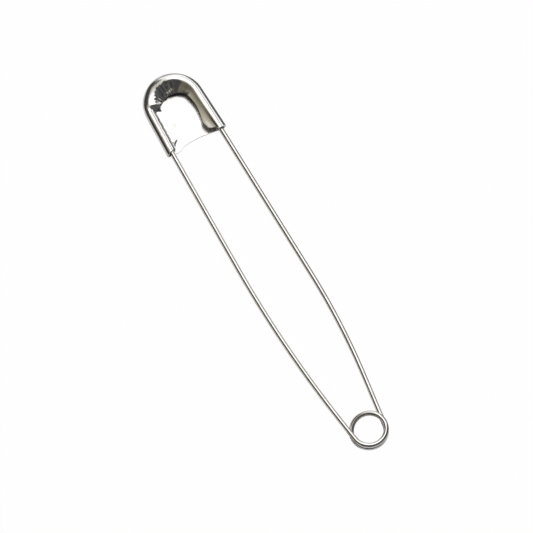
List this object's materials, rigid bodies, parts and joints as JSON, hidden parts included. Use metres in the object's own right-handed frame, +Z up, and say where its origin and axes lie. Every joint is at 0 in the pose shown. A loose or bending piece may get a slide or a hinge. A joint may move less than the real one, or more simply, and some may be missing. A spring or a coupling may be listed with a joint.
{
  "type": "safety pin",
  "caption": "Large nickel-plated safety pin: sprung wire with a coil at one end, a sharp arm, and a rolled sheet-metal cap that guards the point.",
  "frame": {"origin": "under the middle of the pin, on the surface that it lies on", "axes": "+Y from the coil to the cap, +Z up out of the open back of the cap, +X towards the pointed arm"},
  "size_m": [0.0191, 0.127, 0.0034],
  "materials": {
    "nickel_sheet": "bright nickel plate on thin pressed steel, with faint grain, small dings and rolled edges",
    "nickel_wire": "bright nickel plate on drawn spring-steel wire"
  },
  "bodies": {
    "held": {"cap": "nickel_sheet", "fixed_arm": "nickel_wire", "spring_coil": "nickel_wire"},
    "bend": {"wire_bend": "nickel_wire"},
    "pointed_arm": {"pointed_arm": "nickel_wire"}
  },
  "joints": [
    {"name": "unhook", "type": "hinge", "parent": "held", "child": "bend", "pos_m": [0.005, -0.05726, 0.00072], "axis": [0.0015, 0.9961, 0.0886], "range_deg": [0, 320], "stiffness_Nm_per_rad": 0.004, "springref_deg": -85.94},
    {"name": "unhook_level", "type": "hinge", "parent": "bend", "child": "pointed_arm", "pos_m": [0.005, -0.05726, 0.00072], "axis": [0.023, 0.9997, 0.0078], "range_deg": [-320, 0]}
  ],
  "couplings": [
    {"joint": "unhook_level", "follows": "unhook", "ratio": -1}
  ]
}
